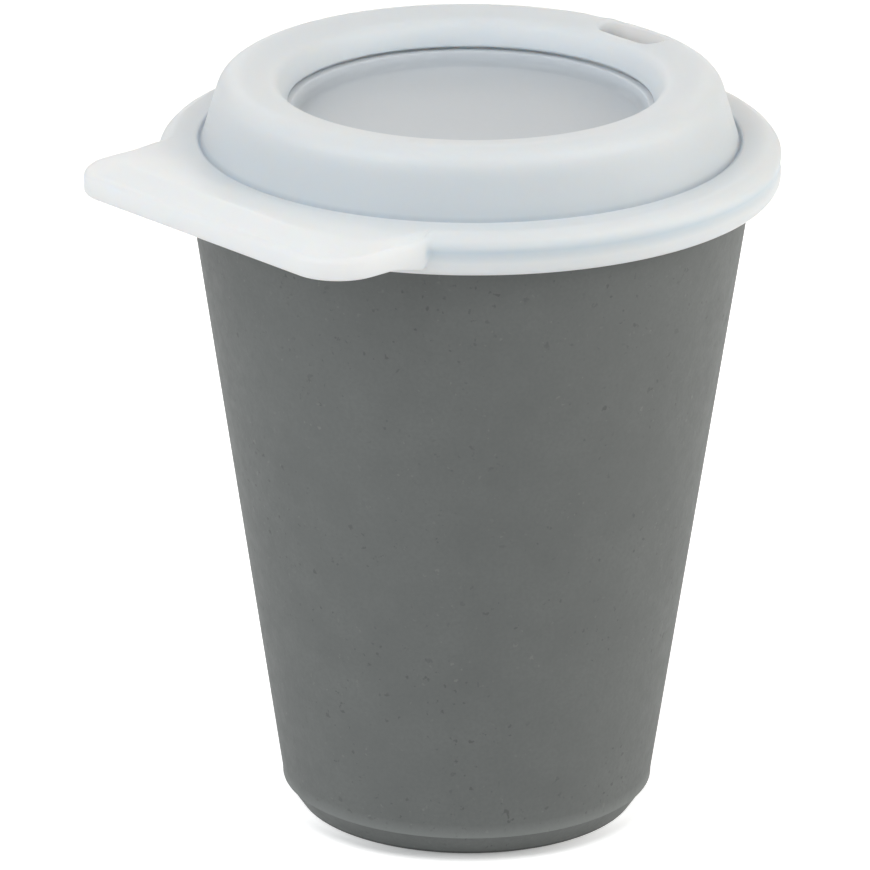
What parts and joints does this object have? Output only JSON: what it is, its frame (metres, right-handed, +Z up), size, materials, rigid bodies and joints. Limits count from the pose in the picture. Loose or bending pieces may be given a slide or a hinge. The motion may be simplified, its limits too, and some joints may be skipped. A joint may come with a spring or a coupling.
{
  "type": "lidded travel cup",
  "caption": "Tapered take-away style drinking cup with a bevelled foot, a soft press-on lid with a raised drinking ring, a sip opening, a sunk disc and a lift tab at the brim.",
  "frame": {"origin": "on the cup's axis, at the level of the table that the foot stands on", "axes": "+Z up along the cup's axis, -Y towards the lid's lift tab, +Y towards the sip opening, +X across"},
  "size_m": [0.1008, 0.1091, 0.1252],
  "materials": {
    "composite": "matte grey moulded composite with fine flecks",
    "silicone": "milky translucent silicone with a soft satin skin",
    "clear_disc": "frosted clear plastic"
  },
  "bodies": {
    "cup": {"cup": "composite"},
    "lid": {"lid": "silicone", "window_disc": "clear_disc"},
    "tab": {"lift_tab": "silicone"}
  },
  "joints": [
    {"name": "lid_lift", "type": "slide", "parent": "cup", "child": "lid", "axis": [0, 0, 1], "range_m": [0, 0.08]},
    {"name": "tab_flex", "type": "hinge", "parent": "lid", "child": "tab", "pos_m": [0, -0.0532, 0.11245], "axis": [-1, 0, 0], "range_deg": [-30, 45], "stiffness_Nm_per_rad": 0.1}
  ]
}
